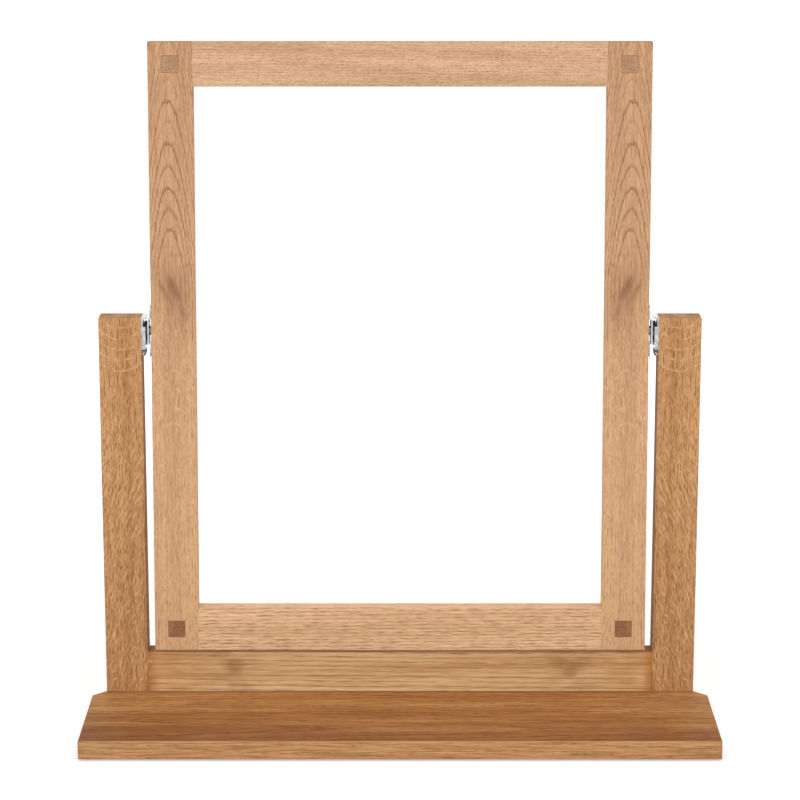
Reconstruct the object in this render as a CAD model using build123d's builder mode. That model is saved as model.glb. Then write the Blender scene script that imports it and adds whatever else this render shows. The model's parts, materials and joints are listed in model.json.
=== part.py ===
from build123d import *
from math import cos, radians, sin
import os

os.makedirs("parts", exist_ok=True)

# Base board and its felt pads, in millimetres as all lengths here
board_width = 600.0
board_depth = 170.0
board_thickness = 18.0
board_round = 1.0
pad_diameter = 20.0
pad_thickness = 2.0
pad_inset = 26.0
pad_post_gap = 6.0

# Posts at the back of the board
post_width = 41.0
post_depth = 24.0
post_side_inset = 13.0
post_back_inset = 2.0
post_round = 0.8

# Cross rail between the posts, tenoned into them
cross_rail_height = 40.0
cross_rail_thickness = 22.0
cross_rail_round = 0.8
cross_tenon_length = 16.0
cross_tenon_thickness = 10.0
cross_tenon_rise = 14.0
cross_tenon_top_gap = 6.0

# Dowels and screws under the posts and the cross rail
dowel_diameter = 8.0
dowel_board_depth = 10.0
dowel_inset = 11.0
dowel_wall = 3.0
base_screw_diameter = 5.0
base_screw_head = 10.0
base_screw_head_height = 2.8
base_screw_length = 45.0
base_screw_tip = 6.0
base_screw_inset = 11.0
base_screw_spacing = 150.0

# Mirror frame: stiles run the full height, rails are tenoned between them and pegged
frame_above_pivot = 274.0
frame_below_pivot = 311.0
frame_bottom_gap = 7.0
frame_thickness = 20.0
frame_round = 0.6
opening_round = 0.5
stile_width = 42.0
frame_rail_width = 42.0
tenon_length = 34.0
tenon_thickness = 8.0
peg_size = 16.0
peg_wall = 4.0
peg_proud = 0.4
peg_round = 0.6
rest_tilt = 4.0

# Glass, packing and back panel, in stepped rebates behind the front lip
glass_thickness = 4.0
glass_lap = 7.0
glass_play = 0.5
packing_thickness = 2.0
panel_thickness = 4.0
panel_ledge = 11.0
panel_play = 0.5
panel_screw_diameter = 3.0
panel_screw_head = 6.0
panel_screw_head_height = 1.6
panel_screw_length = 12.0
panel_screw_tip = 3.0
panel_screw_spread_shares = (-0.8, 0.0, 0.8)

# Friction hinge in the gap between frame and post: a bridge on the stile turns on a tray on the post
hinge_gap = 9.0
pivot_below_post_top = 14.5
stop_angle = 38.0
plate_thickness = 1.5
plate_bend = 1.0
bridge_margin = 0.5
bridge_half_height = 12.5
bridge_screw_offset = 19.5
bridge_end_margin = 5.0
bridge_end_round = 6.0
tray_inset = 0.5
flange_above_pivot = 5.5
flange_tail = 4.5
flange_gap = 1.7
ear_screw_gap = 5.0
ear_screw_spacing = 9.0
ear_edge = 0.5
ear_end_margin = 5.5
ear_round = 5.0
tab_thickness = 1.4
tab_gap = 1.0
friction_washer_thickness = 3.0
friction_washer_play = 0.5
thrust_washer_diameter = 14.0
thrust_washer_thickness = 1.0
stud_diameter = 6.0
stud_end = 1.2
rivet_head_diameter = 9.0
rivet_head_height = 1.0
spring_washer_diameter = 13.0
spring_washer_thickness = 0.8
spring_washer_cone = 0.7
nut_across_flats = 10.0
nut_height = 5.0
nut_collar_diameter = 9.0
nut_collar_height = 1.6
nut_recess_diameter = 17.0

# Screws of the hinge plates: pan heads on the post, countersunk heads on the stile
pan_head_diameter = 7.0
pan_head_height = 2.2
pan_dome_share = 0.65
hinge_screw_diameter = 3.5
hinge_screw_length = 14.0
hinge_screw_tip = 3.5
bridge_screw_head = 6.5

# Driver's cross in the screw heads, as shares of the head
slot_width_share = 0.16
slot_length_share = 0.6
slot_depth_share = 0.15

# Share of a short run that a bend may take
bend_limit_share = 0.45

# Clearances
joint_clearance = 0.1
running_clearance = 0.08
swing_clearance = 0.5
drill_space = 1.0

# Heights
board_bottom = pad_thickness
board_top = board_bottom + board_thickness
cross_rail_top = board_top + cross_rail_height
cross_tenon_height = cross_rail_height - cross_tenon_rise - cross_tenon_top_gap
cross_tenon_z = board_top + cross_tenon_rise + cross_tenon_height / 2
pivot_z = cross_rail_top + frame_bottom_gap + frame_below_pivot
post_height = pivot_z + pivot_below_post_top - board_top

# Widths, from the sides inwards
post_outer_x = board_width / 2 - post_side_inset
post_inner_x = post_outer_x - post_width
post_mid_x = (post_outer_x + post_inner_x) / 2
frame_half_width = post_inner_x - hinge_gap
opening_half_width = frame_half_width - stile_width

# Depths, with the whole part centred between its front and its back
tilt_cos = cos(radians(rest_tilt))
tilt_sin = sin(radians(rest_tilt))
pivot_from_back = post_depth / 2 + post_back_inset
top_corner_y = (frame_thickness / 2 - frame_round) * tilt_cos + frame_round
top_corner_y = top_corner_y + (frame_above_pivot - frame_round) * tilt_sin
overall_depth = board_depth - pivot_from_back + max(pivot_from_back, top_corner_y)
board_front = -overall_depth / 2
board_back = board_front + board_depth
pivot_y = board_back - pivot_from_back
post_front = pivot_y - post_depth / 2
cross_rail_y = post_front + cross_rail_thickness / 2
shoulder_y = post_front - post_side_inset

# Frame sizes along the mirror, measured from the pivot
frame_height = frame_above_pivot + frame_below_pivot
frame_mid = (frame_above_pivot - frame_below_pivot) / 2
frame_rail_offset = (frame_height - frame_rail_width) / 2
opening_height = frame_height - 2 * frame_rail_width
front_lip = frame_thickness - glass_thickness - packing_thickness - panel_thickness
pocket_width = 2 * (opening_half_width + glass_lap)
pocket_height = opening_height + 2 * glass_lap
rebate_width = pocket_width + 2 * panel_ledge
rebate_height = pocket_height + 2 * panel_ledge

# Corner joints of the frame
tenon_width = peg_size + 2 * peg_wall
peg_x = frame_half_width - stile_width / 2
peg_hole = peg_size + 2 * joint_clearance
peg_depth = frame_thickness / 2 + tenon_thickness / 2
peg_spots = [(x, frame_mid + y) for x in (-peg_x, peg_x) for y in (-frame_rail_offset, frame_rail_offset)]

# Hinge sizes: steps across the gap from the stile, and heights from the pivot
bridge_width = frame_thickness - 2 * bridge_margin
bridge_step = hinge_gap - plate_thickness - thrust_washer_thickness - friction_washer_thickness
bridge_end = bridge_screw_offset + bridge_end_margin
bridge_screw_spots = [(0, -bridge_screw_offset), (0, bridge_screw_offset)]
bridge_bend = min(plate_bend, (bridge_step - plate_thickness) * bend_limit_share)
tray_width = post_depth - 2 * tray_inset
tray_inner_half = tray_width / 2 - plate_thickness
flange_reach = hinge_gap - bridge_step - flange_gap
cap_reach = hinge_gap - bridge_step - swing_clearance
friction_washer_radius = tray_inner_half - friction_washer_play
tab_inner = friction_washer_radius + tab_gap
tab_outer = tab_inner + tab_thickness
tab_half_width = (tray_inner_half - tab_outer * sin(radians(stop_angle))) / cos(radians(stop_angle))
tab_end = hinge_gap - plate_thickness - swing_clearance
flange_below_pivot = tab_outer + flange_tail
flange_height = flange_above_pivot + flange_below_pivot
ear_screw_drop = tab_outer + pan_head_diameter / 2 + ear_screw_gap
ear_bottom = ear_screw_drop + ear_end_margin
ear_half_width = (ear_screw_spacing + pan_head_diameter) / 2 + ear_edge
ear_screw_spots = [(x * ear_screw_spacing / 2, -ear_screw_drop) for x in (-1, 1)]
spring_height = spring_washer_thickness + spring_washer_cone
stud_length = hinge_gap + spring_height + nut_height + nut_collar_height + stud_end
nut_recess_depth = stud_length - hinge_gap + drill_space
stud_bore = stud_diameter / 2 + running_clearance

# Places of the dowels and screws
dowel_post_depth = cross_tenon_rise - drill_space - dowel_wall
dowel_spots = [(side * (post_inner_x + dowel_inset), pivot_y) for side in (-1, 1)]
post_screw_spots = [(side * (post_outer_x - base_screw_inset), pivot_y) for side in (-1, 1)]
rail_screw_spots = [(step * base_screw_spacing, cross_rail_y) for step in (-1, 0, 1)]
base_screw_spots = post_screw_spots + rail_screw_spots
base_pilot_depth = base_screw_length - board_thickness + drill_space
panel_screw_x = (pocket_width + panel_ledge) / 2
panel_screw_y = (pocket_height + panel_ledge) / 2
panel_screw_spots = []
for side in (-1, 1):
    for share in panel_screw_spread_shares:
        panel_screw_spots.append((side * panel_screw_x, frame_mid + share * opening_height / 2))
        panel_screw_spots.append((share * opening_half_width, frame_mid + side * panel_screw_y))

# Countersunk screws: diameter, head diameter, head height, length, tip length
base_screw = (base_screw_diameter, base_screw_head, base_screw_head_height, base_screw_length, base_screw_tip)
panel_screw = (
    panel_screw_diameter,
    panel_screw_head,
    panel_screw_head_height,
    panel_screw_length,
    panel_screw_tip,
)
bridge_screw = (
    hinge_screw_diameter,
    bridge_screw_head,
    plate_thickness,
    hinge_screw_length,
    hinge_screw_tip,
)

# Planes: the mirror's own plane leans back about the pivot
mirror_plane = Plane(origin=(0, pivot_y, pivot_z), x_dir=(1, 0, 0), z_dir=(0, -tilt_cos, tilt_sin))
frame_front = mirror_plane.offset(frame_thickness / 2)
frame_back = mirror_plane.offset(-frame_thickness / 2)
glass_front = frame_front.offset(-front_lip)
packing_front = glass_front.offset(-glass_thickness)
panel_front = packing_front.offset(-packing_thickness)
towards_front = Axis(mirror_plane.origin, mirror_plane.z_dir)
towards_top = Axis(mirror_plane.origin, mirror_plane.y_dir)
board_underside = Plane.XY.offset(board_bottom)
board_face = Plane.XY.offset(board_top)
sides = (("left", -1), ("right", 1))
ends = (("bottom", -1), ("top", 1))


def frame_side(side, step):
    """Plane beside a stile, a step out from its outer face, with y up along the mirror."""
    return Plane(
        origin=(side * (frame_half_width + step), pivot_y, pivot_z),
        x_dir=(0, side * tilt_cos, -side * tilt_sin),
        z_dir=(side, 0, 0),
    )


def post_side(side, step):
    """Plane in the hinge gap, a step out from the stile, with y straight up."""
    return Plane(
        origin=(side * (frame_half_width + step), pivot_y, pivot_z),
        x_dir=(0, side, 0),
        z_dir=(side, 0, 0),
    )


def bridge_section(side):
    """Plane across the hinge gap through the pivot, x out from the stile and y up along the mirror."""
    return Plane(
        origin=(side * frame_half_width, pivot_y, pivot_z),
        x_dir=(side, 0, 0),
        z_dir=(0, -side * tilt_cos, side * tilt_sin),
    )


def turn(face, spot, points, mode=Mode.ADD):
    """Turn a half profile of (radius, height) points about the normal of a face."""
    half_plane = Plane(
        origin=face.from_local_coords((*spot, 0)),
        x_dir=face.x_dir,
        z_dir=face.x_dir.cross(face.z_dir),
    )
    with BuildSketch(half_plane) as half:
        with BuildLine():
            Polyline(*points, close=True)
        make_face()
    revolve(half.sketch, axis=Axis(half_plane.origin, face.z_dir), mode=mode)


def cut(face, width, height, depth, spots=((0, 0),)):
    """Cut rectangular pockets along the normal of a face."""
    with BuildSketch(face) as pockets:
        with Locations(*spots):
            Rectangle(width, height)
    extrude(pockets.sketch, amount=depth, mode=Mode.SUBTRACT)


def drill(face, diameter, depth, spots=((0, 0),)):
    """Drill round holes, with a little room, along the normal of a face."""
    with BuildSketch(face) as holes:
        with Locations(*spots):
            Circle(diameter / 2 + joint_clearance)
    extrude(holes.sketch, amount=depth, mode=Mode.SUBTRACT)


def countersink(face, screw, depth, spots):
    """Drill holes for countersunk screws, wide at the face."""
    diameter, head, head_height, _, _ = screw
    radius = diameter / 2 + joint_clearance
    mouth = head / 2 + joint_clearance
    points = ((0, 0), (mouth, 0), (radius, head_height), (radius, depth), (0, depth))
    for spot in spots:
        turn(face, spot, points, mode=Mode.SUBTRACT)


def cross_slots(face, head, spots):
    """Cut the driver's cross into screw heads."""
    long_side = head * slot_length_share
    short_side = head * slot_width_share
    depth = head * slot_depth_share
    cut(face, long_side, short_side, depth, spots)
    cut(face, short_side, long_side, depth, spots)


def countersunk_screws(face, screw, spots):
    """Countersunk screws, driven along the normal of a face, heads flush with it."""
    diameter, head, head_height, length, tip = screw
    radius = diameter / 2
    points = ((0, 0), (head / 2, 0), (radius, head_height), (radius, length - tip), (0, length))
    for spot in spots:
        turn(face, spot, points)
    cross_slots(face, head, spots)


def pan_head_screws(face, spots):
    """Pan head screws standing on a face, driven along its normal."""
    head_radius = pan_head_diameter / 2
    shank_radius = hinge_screw_diameter / 2
    points = (
        (0, -pan_head_height),
        (head_radius * pan_dome_share, -pan_head_height),
        (head_radius, -pan_head_height * (1 - pan_dome_share)),
        (head_radius, 0),
        (shank_radius, 0),
        (shank_radius, hinge_screw_length - hinge_screw_tip),
        (0, hinge_screw_length),
    )
    for spot in spots:
        turn(face, spot, points)
    cross_slots(face.offset(-pan_head_height), pan_head_diameter, spots)


def ring(plane, radius, height):
    """Flat washer on the pivot, standing on a plane."""
    with BuildSketch(plane) as band:
        Circle(radius)
        Circle(stud_bore, mode=Mode.SUBTRACT)
    extrude(band.sketch, amount=height)


def glass_rebates():
    """Step the back of a frame member for the glass and, wider, for the back panel."""
    cut(frame_back, pocket_width, pocket_height, frame_thickness - front_lip, [(0, frame_mid)])
    cut(frame_back, rebate_width, rebate_height, panel_thickness, [(0, frame_mid)])
    drill(frame_back, panel_screw_diameter, panel_screw_length + drill_space, panel_screw_spots)


def save(piece, node):
    """Name a finished piece and write it out."""
    piece.part.label = node
    export_step(piece.part, f"parts/{node}.step")


# Base board: its back corners step in to the posts
with BuildPart() as base_board:
    with BuildSketch(board_underside):
        with BuildLine():
            Polyline(
                (-board_width / 2, board_front),
                (board_width / 2, board_front),
                (board_width / 2, shoulder_y),
                (post_outer_x, post_front),
                (post_outer_x, board_back),
                (-post_outer_x, board_back),
                (-post_outer_x, post_front),
                (-board_width / 2, shoulder_y),
                close=True,
            )
        make_face()
    extrude(amount=board_thickness)
    front_edges = base_board.faces().sort_by(Axis.Y)[0].edges()
    top_edges = base_board.faces().sort_by(Axis.Z)[-1].edges()
    side_edges = top_edges.filter_by(Axis.Y).sort_by(SortBy.LENGTH)[-2:]
    fillet(front_edges + side_edges, radius=board_round)
    countersink(board_underside, base_screw, board_thickness, base_screw_spots)
    drill(board_face, dowel_diameter, -(dowel_board_depth + drill_space), dowel_spots)
save(base_board, "base_board")

# Felt pads: two near the front corners, two inside the posts
pad_rows = (
    ("front", board_width / 2 - pad_inset, board_front + pad_inset),
    ("back", post_inner_x - pad_post_gap - pad_diameter / 2, pivot_y),
)
for row, pad_x, pad_y in pad_rows:
    for name, side in sides:
        with BuildPart() as felt_pad:
            with BuildSketch():
                with Locations((side * pad_x, pad_y)):
                    Circle(pad_diameter / 2)
            extrude(amount=pad_thickness)
        save(felt_pad, f"{row}_{name}_felt_pad")

# Posts: mortised for the cross rail, recessed for the hinge nut
for name, side in sides:
    with BuildPart() as post:
        with BuildSketch(board_face):
            with Locations((side * post_mid_x, pivot_y)):
                Rectangle(post_width, post_depth)
        extrude(amount=post_height)
        foot = post.faces().sort_by(Axis.Z)[0]
        fillet(post.edges() - foot.edges(), radius=post_round)
        inner_face = post_side(side, hinge_gap)
        cut(
            inner_face,
            cross_tenon_thickness + 2 * joint_clearance,
            cross_tenon_height + 2 * joint_clearance,
            cross_tenon_length + drill_space,
            [(side * (cross_rail_y - pivot_y), cross_tenon_z - pivot_z)],
        )
        drill(inner_face, nut_recess_diameter, nut_recess_depth)
        drill(inner_face, hinge_screw_diameter, hinge_screw_length, ear_screw_spots)
        drill(board_face, dowel_diameter, dowel_post_depth + drill_space, dowel_spots)
        drill(board_face, base_screw_diameter, base_pilot_depth, post_screw_spots)
    save(post, f"{name}_post")

# Cross rail, with a tenon at each end
with BuildPart() as cross_rail:
    with BuildSketch(board_face):
        with Locations((0, cross_rail_y)):
            Rectangle(2 * post_inner_x, cross_rail_thickness)
    extrude(amount=cross_rail_height)
    rail_top = cross_rail.faces().sort_by(Axis.Z)[-1]
    fillet(rail_top.edges().filter_by(Axis.X), radius=cross_rail_round)
    with Locations((0, cross_rail_y, cross_tenon_z)):
        Box(2 * (post_inner_x + cross_tenon_length), cross_tenon_thickness, cross_tenon_height)
    drill(board_face, base_screw_diameter, base_pilot_depth, rail_screw_spots)
save(cross_rail, "cross_rail")

# Screws and dowels that hold the posts and the cross rail to the board
with BuildPart() as base_screws:
    countersunk_screws(board_underside, base_screw, base_screw_spots)
save(base_screws, "base_screws")

with BuildPart() as post_dowels:
    with BuildSketch(board_face.offset(-dowel_board_depth)):
        with Locations(*dowel_spots):
            Circle(dowel_diameter / 2)
    extrude(amount=dowel_board_depth + dowel_post_depth)
save(post_dowels, "post_dowels")

# Stiles: mortised for the rails, with the hinge plates on their outer faces
for name, side in sides:
    with BuildPart() as stile:
        with BuildSketch(frame_back):
            with Locations((side * peg_x, frame_mid)):
                Rectangle(stile_width, frame_height)
        extrude(amount=frame_thickness)
        inner_face = stile.faces().sort_by(Axis.X, reverse=side < 0)[0]
        fillet(stile.edges() - inner_face.edges(), radius=frame_round)
        inner_face = stile.faces().sort_by(Axis.X, reverse=side < 0)[0]
        fillet(inner_face.edges().sort_by(towards_front)[-1], radius=opening_round)
        glass_rebates()
        cut(
            frame_side(side, -stile_width),
            tenon_thickness + 2 * joint_clearance,
            tenon_width + 2 * joint_clearance,
            tenon_length + drill_space,
            [(0, frame_mid - frame_rail_offset), (0, frame_mid + frame_rail_offset)],
        )
        cut(frame_front, peg_hole, peg_hole, -peg_depth, peg_spots)
        drill(frame_side(side, 0), hinge_screw_diameter, -hinge_screw_length, bridge_screw_spots)
    save(stile, f"{name}_stile")

# Rails of the mirror frame, each with a tenon at both ends
for name, end in ends:
    with BuildPart() as frame_rail:
        with BuildSketch(frame_back):
            with Locations((0, frame_mid + end * frame_rail_offset)):
                Rectangle(2 * opening_half_width, frame_rail_width)
        extrude(amount=frame_thickness)
        outer_face = frame_rail.faces().sort_by(towards_top, reverse=end < 0)[-1]
        fillet(outer_face.edges().filter_by(Axis.X), radius=frame_round)
        inner_face = frame_rail.faces().sort_by(towards_top, reverse=end < 0)[0]
        fillet(inner_face.edges().filter_by(Axis.X).sort_by(towards_front)[-1], radius=opening_round)
        with BuildSketch(mirror_plane.offset(-tenon_thickness / 2)):
            with Locations((0, frame_mid + end * frame_rail_offset)):
                Rectangle(2 * (opening_half_width + tenon_length), tenon_width)
        extrude(amount=tenon_thickness)
        glass_rebates()
        cut(frame_front, peg_hole, peg_hole, -peg_depth, peg_spots)
    save(frame_rail, f"{name}_rail")

# Square pegs that lock the corner joints, standing a little proud
for end_name, end in ends:
    for side_name, side in sides:
        with BuildPart() as peg:
            with BuildSketch(frame_front.offset(-peg_depth)):
                with Locations((side * peg_x, frame_mid + end * frame_rail_offset)):
                    Rectangle(peg_size, peg_size)
            extrude(amount=peg_depth + peg_proud)
            fillet(peg.faces().sort_by(towards_front)[-1].edges(), radius=peg_round)
        save(peg, f"{end_name}_{side_name}_peg")

# Glass, packing and back panel, stacked behind the front lip
with BuildPart() as mirror_glass:
    with BuildSketch(glass_front):
        with Locations((0, frame_mid)):
            Rectangle(pocket_width - 2 * glass_play, pocket_height - 2 * glass_play)
    extrude(amount=-glass_thickness)
save(mirror_glass, "mirror_glass")

with BuildPart() as packing_sheet:
    with BuildSketch(packing_front):
        with Locations((0, frame_mid)):
            Rectangle(pocket_width - 2 * glass_play, pocket_height - 2 * glass_play)
    extrude(amount=-packing_thickness)
save(packing_sheet, "packing_sheet")

with BuildPart() as back_panel:
    with BuildSketch(panel_front):
        with Locations((0, frame_mid)):
            Rectangle(rebate_width - 2 * panel_play, rebate_height - 2 * panel_play)
    extrude(amount=-panel_thickness)
    countersink(frame_back, panel_screw, panel_thickness, panel_screw_spots)
save(back_panel, "back_panel")

with BuildPart() as back_panel_screws:
    countersunk_screws(frame_back, panel_screw, panel_screw_spots)
save(back_panel_screws, "back_panel_screws")

# Hinges: everything in the gap, from the stile out to the post
for name, side in sides:
    foot_face = -frame_side(side, plate_thickness)
    with BuildPart() as frame_bridge:
        foot_line = plate_thickness / 2
        web_line = bridge_step - plate_thickness / 2
        arm_line = bridge_half_height - plate_thickness / 2
        with BuildSketch(bridge_section(side)) as section:
            with BuildLine():
                FilletPolyline(
                    (foot_line, bridge_end),
                    (foot_line, arm_line),
                    (web_line, arm_line),
                    (web_line, -arm_line),
                    (foot_line, -arm_line),
                    (foot_line, -bridge_end),
                    radius=bridge_bend,
                )
            trace(line_width=plate_thickness)
        extrude(amount=bridge_width / 2, both=True)
        end_edges = frame_bridge.edges().filter_by(Axis.X).sort_by(towards_top)
        fillet(end_edges[:2] + end_edges[-2:], radius=bridge_end_round)
        with BuildSketch(frame_side(side, web_line)):
            with Locations((0, -(tab_inner + tab_outer) / 2)):
                Rectangle(2 * tab_half_width, tab_thickness)
        extrude(amount=tab_end - web_line)
        drill(frame_side(side, bridge_step), stud_diameter, -plate_thickness)
        countersink(foot_face, bridge_screw, plate_thickness + drill_space, bridge_screw_spots)
    save(frame_bridge, f"{name}_frame_bridge")

    with BuildPart() as post_tray:
        with BuildSketch(post_side(side, hinge_gap - plate_thickness)) as tray_face:
            with BuildLine():
                Polyline(
                    (-tray_width / 2, pivot_below_post_top),
                    (tray_width / 2, pivot_below_post_top),
                    (tray_width / 2, -flange_below_pivot),
                    (ear_half_width, -ear_screw_drop),
                    (ear_half_width, -ear_bottom),
                    (-ear_half_width, -ear_bottom),
                    (-ear_half_width, -ear_screw_drop),
                    (-tray_width / 2, -flange_below_pivot),
                    close=True,
                )
            make_face()
            fillet(tray_face.vertices().sort_by(Axis.Y)[:2], radius=ear_round)
        extrude(amount=plate_thickness)
        with BuildSketch(post_side(side, hinge_gap - flange_reach)):
            flange_mid = (flange_above_pivot - flange_below_pivot) / 2
            flange_x = (tray_width - plate_thickness) / 2
            with Locations((-flange_x, flange_mid), (flange_x, flange_mid)):
                Rectangle(plate_thickness, flange_height)
        extrude(amount=flange_reach)
        with BuildSketch(post_side(side, hinge_gap - cap_reach)):
            with Locations((0, pivot_below_post_top - plate_thickness / 2)):
                Rectangle(tray_width, plate_thickness)
        extrude(amount=cap_reach)
        with Locations(post_side(side, hinge_gap)):
            Hole(radius=stud_bore, depth=plate_thickness)
        drill(post_side(side, hinge_gap), hinge_screw_diameter, -plate_thickness, ear_screw_spots)
    save(post_tray, f"{name}_post_tray")

    with BuildPart() as pivot_stud:
        head_face = bridge_step - plate_thickness
        profile = (
            (0, head_face - rivet_head_height),
            (rivet_head_diameter / 2, head_face - rivet_head_height),
            (rivet_head_diameter / 2, head_face),
            (stud_diameter / 2, head_face),
            (stud_diameter / 2, stud_length),
            (0, stud_length),
        )
        turn(frame_side(side, 0), (0, 0), profile)
    save(pivot_stud, f"{name}_pivot_stud")

    with BuildPart() as friction_washer:
        ring(frame_side(side, bridge_step), friction_washer_radius, friction_washer_thickness)
    save(friction_washer, f"{name}_friction_washer")

    with BuildPart() as thrust_washer:
        washer_seat = frame_side(side, bridge_step + friction_washer_thickness)
        ring(washer_seat, thrust_washer_diameter / 2, thrust_washer_thickness)
    save(thrust_washer, f"{name}_thrust_washer")

    with BuildPart() as spring_washer:
        rim = spring_washer_diameter / 2
        profile = (
            (rim, 0),
            (rim, spring_washer_thickness),
            (stud_bore, spring_height),
            (stud_bore, spring_washer_cone),
        )
        turn(frame_side(side, hinge_gap), (0, 0), profile)
    save(spring_washer, f"{name}_spring_washer")

    with BuildPart() as lock_nut:
        nut_seat = frame_side(side, hinge_gap + spring_height)
        with BuildSketch(nut_seat):
            RegularPolygon(nut_across_flats / 2, 6, major_radius=False)
        extrude(amount=nut_height)
        with BuildSketch(nut_seat.offset(nut_height)):
            Circle(nut_collar_diameter / 2)
        extrude(amount=nut_collar_height)
        with Locations(nut_seat.offset(nut_height + nut_collar_height)):
            Hole(radius=stud_bore, depth=nut_height + nut_collar_height)
    save(lock_nut, f"{name}_lock_nut")

    with BuildPart() as bridge_screws:
        countersunk_screws(foot_face, bridge_screw, bridge_screw_spots)
    save(bridge_screws, f"{name}_bridge_screws")

    with BuildPart() as tray_screws:
        pan_head_screws(post_side(side, hinge_gap - plate_thickness), ear_screw_spots)
    save(tray_screws, f"{name}_tray_screws")
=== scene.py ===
import json
import math

import bpy
from mathutils import Matrix, Vector


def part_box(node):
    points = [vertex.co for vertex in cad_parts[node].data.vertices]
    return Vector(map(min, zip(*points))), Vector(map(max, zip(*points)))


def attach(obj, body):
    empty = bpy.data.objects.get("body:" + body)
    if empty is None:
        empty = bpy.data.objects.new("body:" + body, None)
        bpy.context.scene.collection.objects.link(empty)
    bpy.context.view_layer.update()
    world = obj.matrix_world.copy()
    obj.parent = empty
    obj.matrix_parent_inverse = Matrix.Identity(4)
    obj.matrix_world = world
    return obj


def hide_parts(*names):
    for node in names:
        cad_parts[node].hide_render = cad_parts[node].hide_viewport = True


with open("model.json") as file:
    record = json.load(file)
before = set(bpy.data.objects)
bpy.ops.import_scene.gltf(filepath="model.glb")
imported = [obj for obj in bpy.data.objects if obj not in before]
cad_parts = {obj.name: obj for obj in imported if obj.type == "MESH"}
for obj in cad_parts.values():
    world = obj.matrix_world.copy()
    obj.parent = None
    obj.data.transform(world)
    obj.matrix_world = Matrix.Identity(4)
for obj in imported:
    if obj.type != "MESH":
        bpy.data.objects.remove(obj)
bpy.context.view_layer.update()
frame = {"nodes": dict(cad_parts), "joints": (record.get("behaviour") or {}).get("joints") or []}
cadNodes = frame["nodes"]
print("frame loaded with", len(cadNodes), "CAD nodes")

millimetre = 0.001
sides = ("left", "right")
white = (1, 1, 1, 1)


# Shared tools for materials

def linear(hexValue):  # sRGB hex to linear RGBA
    parts = [int(hexValue[i:i + 2], 16) / 255 for i in (1, 3, 5)]
    return [c / 12.92 if c <= 0.04045 else ((c + 0.055) / 1.055) ** 2.4 for c in parts] + [1]


def wire(tree, node, links):  # a socket takes a node, another socket or a plain value
    for key, value in links.items():
        named = [s for s in node.inputs if s.enabled and s.name == key]
        socket = node.inputs[key] if isinstance(key, int) else named[0]
        if isinstance(value, bpy.types.Node):
            value = next(s for s in value.outputs if s.enabled)
        if isinstance(value, bpy.types.NodeSocket):
            tree.links.new(value, socket)
        else:
            socket.default_value = value


def addNode(tree, kind, links=None, stops=(), **settings):
    node = tree.nodes.new("ShaderNode" + kind)
    for setting, value in settings.items():
        setattr(node, setting, value)
    wire(tree, node, links or {})
    for i, (place, hexValue) in enumerate(stops):  # colour ramp stops, in rising order
        step = node.color_ramp.elements[i] if i < 2 else node.color_ramp.elements.new(place)
        step.position, step.color = place, linear(hexValue)
    return node


def startMaterial(name):
    material = bpy.data.materials.new(name)
    material.use_nodes = True
    return material, material.node_tree, material.node_tree.nodes["Principled BSDF"]


def localMillimetres(tree, spot, piece):  # X along the grain, Y across the face, Z through it
    grain, across = Vector(piece["grain"]), Vector(piece["across"])
    turn = Matrix((grain, across, grain.cross(across))).transposed().to_euler()
    links = {"Vector": spot, "Location": piece["centre"], "Rotation": turn, "Scale": [millimetre] * 3}
    return addNode(tree, "Mapping", links, vector_type="TEXTURE")


def stretchedNoise(tree, local, seed, patterns, throughShare=1):  # a pattern: length and width in mm, detail
    seedTurns, patternSteps = (1, 0.7, -1), (7.3, -3.1, 5.7)  # keep pieces and patterns from looking alike
    made = {}
    for i, (pattern, (length, width, detail)) in enumerate(patterns.items()):
        shift = [seed * turn + i * step for turn, step in zip(seedTurns, patternSteps)]
        scaled = {0: local, 1: (1 / length, 1 / width, 1 / (width * throughShare)), 2: shift}
        stretched = addNode(tree, "VectorMath", scaled, operation="MULTIPLY_ADD")
        made[pattern] = addNode(tree, "TexNoise", {"Vector": stretched, "Scale": 1, "Detail": detail})
    return made


def awayFrom(tree, distance, line):  # how far a point lies from a line, to either side
    offset = addNode(tree, "Math", {0: distance, 1: line}, operation="SUBTRACT")
    return addNode(tree, "Math", {0: offset}, operation="ABSOLUTE")


# Lacquered timber, sawn and planed. Growth rings are cones about a pith line, so a face near
# the pith shows arched figure, an edge straight lines and an end curved rings. The eye also
# gets dark open pores along the grain, pale ray flecks across it and a satin lacquer.

figure = {  # what all timbers share; levels are the noise values between which a mark sets in
    "detail": {"wander": 1, "ripple": 2, "bands": 2, "fibre": 3, "pores": 1, "ticks": 1, "breaks": 1,
               "warp": 1},
    "toneLevels": (0.34, 0.66), "dashLevels": (0.36, 0.56), "streakLevels": (0.36, 0.64),
    "poreLevels": {"pores": (0.54, 0.66), "ticks": (0.55, 0.68)}, "earlyCrowd": 0.6, "lateCrowd": 0.5,
    "lineStart": 0.12,  # share of a ring over which its dark line sets in
    "faintest": 0.15, "fleckCore": 0.1, "fleckTear": 0.12, "fleckFull": 0.6,
    "raggedLevels": (0.3, 0.6), "raggedLeast": 0.5, "knotDepth": 1000,
    "squareTo": (0.7, 0.97),  # how squarely a face looks along or across the grain to be an end or an edge
    "poreDepth": 0.8, "bump": 0.35, "bumpHeight": 0.2, "lacquerIor": 1.45, "lacquerShine": 0.12,
}


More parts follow.
